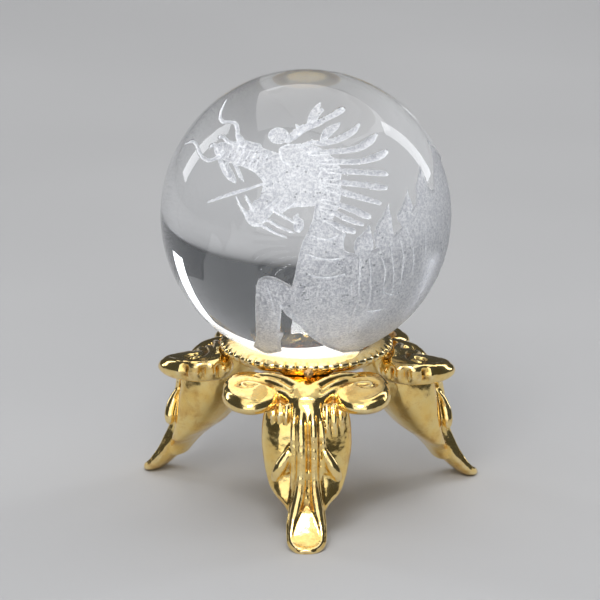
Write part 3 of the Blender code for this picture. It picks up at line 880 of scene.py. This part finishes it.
class Casting:
    """Closed shapes that overlap, gathered in one mesh before they are fused."""

    def __init__(self):
        self.points = []
        self.faces = []

    def loft(self, sections):
        """A closed skin over a list of closed outlines, each with the same number of points."""
        base, count = len(self.points), len(sections[0])
        for section in sections:
            self.points.extend(tuple(p) for p in section)
        for row in range(len(sections) - 1):
            for i in range(count):
                a, b = base + row * count + i, base + row * count + (i + 1) % count
                self.faces.append((a, b, b + count, a + count))
        self.faces.append(tuple(range(base + count - 1, base - 1, -1)))
        last = base + (len(sections) - 1) * count
        self.faces.append(tuple(range(last, last + count)))

    def bar(self, stations, side=1):
        """A round bar with rounded ends through (tangential, radial, height, half thickness) stations."""
        path = through(stations, steps=10)
        points = np.column_stack([side * path[:, 0], -path[:, 1], path[:, 2]])
        half = path[:, 3]
        along = unit(np.gradient(points, axis=0))
        caps = [(share, max(math.sqrt(1 - share * share), CAP_TIP)) for share in CAP_STEPS]
        turns = np.linspace(0, math.tau, BAR_POINTS, endpoint=False)[:, None]
        stops = [(points[0] - along[0] * half[0] * s, along[0], half[0] * w) for s, w in caps]
        stops += list(zip(points, along, half))
        stops += [(points[-1] + along[-1] * half[-1] * s, along[-1], half[-1] * w) for s, w in caps[::-1]]
        sections = []
        for centre, direction, radius in stops:
            first = np.cross(direction, (0.0, 0.6, 0.8))
            first /= np.linalg.norm(first)
            second = np.cross(direction, first)
            sections.append(centre + radius * (np.cos(turns) * first + np.sin(turns) * second))
        self.loft(sections)

    def fused(self, name, voxel):
        """The union of all the shapes as one even mesh, whose points lie on the shapes themselves."""
        mesh = bpy.data.meshes.new(name)
        mesh.from_pydata([tuple(map(float, p)) for p in self.points], [], self.faces)
        bm = outwards(mesh)
        shapes = BVHTree.FromBMesh(bm)
        bm.free()
        obj = placed(name, mesh)
        remesh = obj.modifiers.new("fuse", "REMESH")
        remesh.mode = "VOXEL"
        remesh.voxel_size = voxel
        result = bpy.data.meshes.new_from_object(obj.evaluated_get(bpy.context.evaluated_depsgraph_get()))
        bpy.data.objects.remove(obj)
        bpy.data.meshes.remove(mesh)
        result.name = name
        result.transform(Matrix.Scale(MM, 4))
        points, normals, _ = read(result)
        for index, (point, normal) in enumerate(zip(points, normals)):
            place, facing, _, _ = shapes.find_nearest(point, voxel * SNAP_REACH)
            if place is not None and facing.dot(normal) > SNAP_AGREEMENT:
                points[index] = place
        write(result, points)
        result.shade_smooth()
        return result


def add_body(casting):
    """The broad body behind the trunk: level outlines stacked upwards."""
    turns = math.tau * (np.arange(OUTLINE_POINTS) + 0.5) / OUTLINE_POINTS
    across = np.copysign(np.abs(np.cos(turns)) ** BODY_SQUARENESS, np.cos(turns))
    out = np.copysign(np.abs(np.sin(turns)) ** BODY_SQUARENESS, np.sin(turns))
    sections = []
    for height, half_width, inner, outer in through(BODY_STATIONS, steps=12):
        middle, reach = (inner + outer) / 2, (outer - inner) / 2
        out_from_axis = middle + reach * out
        level = np.full(OUTLINE_POINTS, height)
        sections.append(np.column_stack([half_width * across, -out_from_axis, level]))
    casting.loft(sections)


def add_trunk(casting):
    """The nose, trunk and spoon foot: one bar swept down the leg's front, with a hollow face."""
    path = through(TRUNK_STATIONS, steps=12)
    slope = unit(np.gradient(path[:, :2], axis=0))
    turns = math.tau * np.arange(TRUNK_POINTS) / TRUNK_POINTS
    across, rise = np.cos(turns), np.sin(turns)
    sections = []
    for (radius, height, half_width, half_depth, hollow), (out, up) in zip(path, slope):
        raised = half_depth * np.where(rise > 0, rise * (1 - hollow * (1 - across**2)), rise)
        out_from_axis = radius - up * raised
        sections.append(np.column_stack([half_width * across, -out_from_axis, height + out * raised]))
    casting.loft(sections)


def add_volute(casting, side):
    """One flat scroll pad: an oval cushion, thicker towards the ring."""
    tangential, radial, height = VOLUTE_CENTRE
    centre = Vector((side * tangential, -radial, height))
    tilt = Matrix.Rotation(VOLUTE_TILT, 3, "X")
    sections = []
    for scale, level in through(VOLUTE_RINGS, steps=5):
        outline = []
        for i in range(OUTLINE_POINTS):
            angle = math.tau * i / OUTLINE_POINTS
            across = VOLUTE_RADII[0] * scale * math.cos(angle)
            out = VOLUTE_RADII[1] * scale * math.sin(angle)
            outline.append(tilt @ Vector((across, -out, level * (1 - VOLUTE_TAPER * out))) + centre)
        sections.append(outline)
    casting.loft(sections)


def pressed(points, normals, path, width, depth, from_above=False):
    """Presses a groove along a (tangential, radial, height) path, or along one seen from above."""
    line = np.asarray(path, float)
    line = line * (1, -1, 1)[: line.shape[1]]
    distance, _ = line_distance(points[:, : line.shape[1]], line)
    strength = depth * np.exp(-((distance / width) ** 2))
    if from_above:
        strength = strength * step(normals[:, 2], *TOP_FACING) * step(points[:, 2], *TOP_HEIGHTS)
    return points - normals * strength[:, None]


def leg_mesh():
    """The whole casting, shared by the three legs."""
    casting = Casting()
    add_body(casting)
    add_trunk(casting)
    for side in (-1, 1):
        add_volute(casting, side)
        for stations in PAIRED_BARS:
            casting.bar(stations, side)
    for stations in SINGLE_BARS:
        casting.bar(stations)
    mesh = casting.fused("leg", VOXEL)
    points, normals, edges = read(mesh)
    points = relaxed(points, edges, RELAX_ROUNDS)
    for side in (-1, 1):
        mirror = np.array((side, 1))
        spiral = through(SPIRAL, steps=4) * mirror
        points = pressed(points, normals, spiral, width=0.27, depth=0.26, from_above=True)
        points = pressed(points, normals, EYE_PIT * mirror, width=0.3, depth=0.34, from_above=True)
        for across, out in PAD_FLUTES:
            flute = [(side * across, out, height) for height in FLUTE_HEIGHTS]
            points = pressed(points, normals, flute, width=0.42, depth=0.45)
    points = pressed(points, normals, NOSE_CREASE, width=0.14, depth=0.16)
    points = pressed(points, normals, FOOT_RECESS, width=0.3, depth=0.3)
    uneven = CAST_UNEVENNESS * (1.4 * lumps(points, 1.6, seed=3) + 0.5 * lumps(points, 0.5, seed=4))
    points = relaxed(points + normals * uneven[:, None], edges, rounds=1)
    from_axis = np.hypot(points[:, 0], points[:, 1])
    under_cup = cup_underside(from_axis) + SOLDER_BITE
    under_rim = RIM_TOP - RIM_HEIGHT + SOLDER_BITE
    ceiling = np.where(from_axis < RIM_RADIUS - RIM_OVERHANG, under_cup, under_rim)
    ceiling = np.where(from_axis < RIM_RADIUS + RIM_CLEARANCE, ceiling, np.inf)
    points[:, 2] = np.clip(points[:, 2], 0.0, ceiling)
    write(mesh, points)
    give(mesh, "recess", recesses(mesh, rounds=12, scale=0.16))
    return mesh


def gold_plate():
    """Polished gold plate over a casting: bright on the crests, brown and duller in the hollows."""
    m = Nodes("gold_plate")
    hollow = m.ramp(m.attribute("recess"), 0.58, 0.95)
    crest = m.ramp(m.attribute("recess"), 0.42, 0.15)
    cloud = m.noise(2.2, 4.0, 0.6)
    fine = m.noise(0.3, 3.0, 0.6)
    pits = m.times(m.ramp(m.cells(0.5), 0.05, 0.13, 1.0, 0.0), m.ramp(m.attribute("recess"), 0.52, 0.7))
    plated = m.colours(m.ramp(cloud, 0.35, 0.65), rgb(1.0, 0.68, 0.21), rgb(1.0, 0.77, 0.32))
    rubbed = m.times(crest, m.ramp(fine, 0.3, 0.7, 0.3, 1.0))
    worn = m.colours(rubbed, plated, rgb(1.0, 0.86, 0.52))
    tarnish = m.times(m.ramp(m.noise(1.7, 5.0, 0.7, 0.4), 0.5, 0.68), 0.55)
    dirt = m.times(hollow, m.ramp(m.noise(0.8, 3.0), 0.25, 0.6, 0.35, 1.0))
    dirt = m.maths("MAXIMUM", dirt, m.times(pits, 0.6))
    aged = m.colours(tarnish, worn, rgb(0.62, 0.33, 0.09))
    m.link(m.colours(dirt, aged, rgb(0.30, 0.14, 0.04)), "Base Color")
    rough = m.ramp(m.blend(0.4, cloud, fine), 0.3, 0.7, 0.06, 0.18)
    rough = m.maths("ADD", rough, m.times(tarnish, 0.25))
    m.link(m.maths("ADD", rough, m.times(dirt, 0.28)), "Roughness")
    relief = m.maths("SUBTRACT", m.times(fine, 0.35), pits)
    m.link(m.bump(relief, 0.02, 0.6, m.bump(m.noise(0.9, 2.0), 0.035, 0.7)), "Normal")
    m.set(metallic=1.0)
    return m.material


# ---- the beads of solder

BEAD_CENTRE = (0.2, 9.6, 16.15)  # tangential, radial, height
BEAD_RADII = (0.5, 0.62, 0.42)
BEAD_SUBDIVISIONS = 5


def bead_mesh(seed):
    """A lumpy bead that bridges the nose and the rim."""
    points, faces = unit_sphere(BEAD_SUBDIVISIONS)
    swell = 1 + 0.16 * lumps(points, 0.9, seed) + 0.06 * lumps(points, 0.35, seed + 1)
    tangential, radial, height = BEAD_CENTRE
    points = points * swell[:, None] * BEAD_RADII + (tangential, -radial, height)
    mesh = new_mesh("solder", points, faces)
    give(mesh, "recess", recesses(mesh, rounds=10, scale=0.05))
    return mesh


def solder():
    """Solder under thin plating: browner and duller than the castings, with a pitted skin."""
    m = Nodes("solder")
    skin = m.noise(0.25, 4.0, 0.7)
    pits = m.ramp(m.cells(0.22), 0.1, 0.3, 1.0, 0.0)
    brown = m.maths("ADD", m.ramp(skin, 0.35, 0.65), m.ramp(m.attribute("recess"), 0.5, 0.9), clamp=True)
    m.link(m.colours(brown, rgb(0.85, 0.58, 0.26), rgb(0.42, 0.22, 0.09)), "Base Color")
    m.link(m.ramp(skin, 0.3, 0.7, 0.22, 0.5), "Roughness")
    m.link(m.bump(m.maths("SUBTRACT", skin, m.times(pits, 0.5)), 0.04, 0.8), "Normal")
    m.set(metallic=1.0)
    return m.material


# ---- floor, lights and camera

CAMERA_ELEVATION = math.radians(17)
CAMERA_DISTANCE = 0.85
VIEW_WIDTH = 0.0617  # what the picture takes in across, at the middle of the object
VIEW_CENTRE = Vector((-0.00067, 0, 0.02108))  # from the stand's axis
LIGHT_TARGET = Vector((0, 0, 0.02))  # what every softbox faces
COOL_WHITE = (0.98, 0.99, 1.0)
FLOOR_REACH = 900


def make_floor():
    """A plain pale floor, faintly uneven in tone."""
    m = Nodes("floor")
    tone = m.noise(60.0, 2.0)
    m.link(m.colours(m.ramp(tone, 0.3, 0.7), rgb(0.46, 0.46, 0.465), rgb(0.49, 0.49, 0.495)), "Base Color")
    m.link(m.ramp(tone, 0.3, 0.7, 0.75, 0.85), "Roughness")
    corners = [(x * FLOOR_REACH, y * FLOOR_REACH, 0) for x, y in ((-1, -1), (1, -1), (1, 1), (-1, 1))]
    mesh = new_mesh("floor", corners, [(0, 1, 2, 3)])
    mesh.materials.append(m.material)
    floor = placed("floor", mesh)


def softbox(name, place, size, watts, colour):
    """A rectangular soft light that faces the middle of the object."""
    light = bpy.data.lights.new(name, "AREA")
    light.shape = "RECTANGLE"
    light.size, light.size_y = size
    light.energy = watts
    light.color = colour
    obj = placed(name, light)
    obj.location = place
    obj.rotation_euler = (LIGHT_TARGET - Vector(place)).to_track_quat("-Z", "Y").to_euler()


def make_lights():
    """Softboxes overhead and in front, a strip behind each side, and a dim even surround.

    A lower front one would show as a white patch in the ball. The fill reaches down to the floor, so
    that the castings reflect no dark gap.
    """
    softbox("overhead", (0.05, 0.16, 0.42), (0.55, 0.42), 1.1, (1.0, 0.99, 0.98))
    softbox("front", (-0.06, -0.41, 0.47), (0.2, 0.2), 1.55, COOL_WHITE)
    softbox("fill", (-0.17, -1.0, 0.4), (1.3, 0.8), 4.2, COOL_WHITE)
    softbox("canopy", (-0.04, -0.21, 0.47), (0.5, 0.36), 0.7, COOL_WHITE)
    for side in (-1, 1):
        softbox("strip", (side * 0.5, 0.34, 0.28), (0.12, 0.4), 0.55, (0.95, 0.97, 1.0))
    world = bpy.data.worlds.new("surround")
    world.use_nodes = True
    background = world.node_tree.nodes["Background"]
    background.inputs["Color"].default_value = rgb(0.88, 0.93, 1.0)
    background.inputs["Strength"].default_value = 0.07
    bpy.context.scene.world = world
    bpy.context.scene.view_settings.view_transform = "Standard"


def make_camera():
    """A long lens that looks down a little at the front."""
    data = bpy.data.cameras.new("camera")
    data.lens = data.sensor_width * CAMERA_DISTANCE / VIEW_WIDTH
    data.clip_start = 0.01
    data.clip_end = 10.0
    camera = placed("camera", data)
    back = Vector((0, -math.cos(CAMERA_ELEVATION), math.sin(CAMERA_ELEVATION)))
    camera.location = AXIS + VIEW_CENTRE + back * CAMERA_DISTANCE
    camera.rotation_euler = (-back).to_track_quat("-Z", "Y").to_euler()
    bpy.context.scene.camera = camera


# ---- the whole scene


def build():
    """Makes every piece, then what it stands on and is seen by."""
    gold = gold_plate()
    bead = solder()
    piece("ball", ball_mesh(), crystal(), "ball", "crystal_ball", Matrix.Translation(BALL_CENTRE))
    piece("seat", ring_mesh(), gold, "stand", "seat_ring", Matrix.Translation(AXIS))
    casting = leg_mesh()
    for index, place in enumerate(PLACES):
        matrix = Matrix.Translation(AXIS) @ Matrix.Rotation(leg_angle(place), 4, "Z")
        piece(place + "_leg", casting, gold, "stand", "leg_" + place, matrix)
        blob = bead_mesh(seed=10 + 2 * index)
        piece(place + "_bead", blob, bead, "stand", "solder_" + place, matrix)
    make_floor()
    make_lights()
    make_camera()


build()
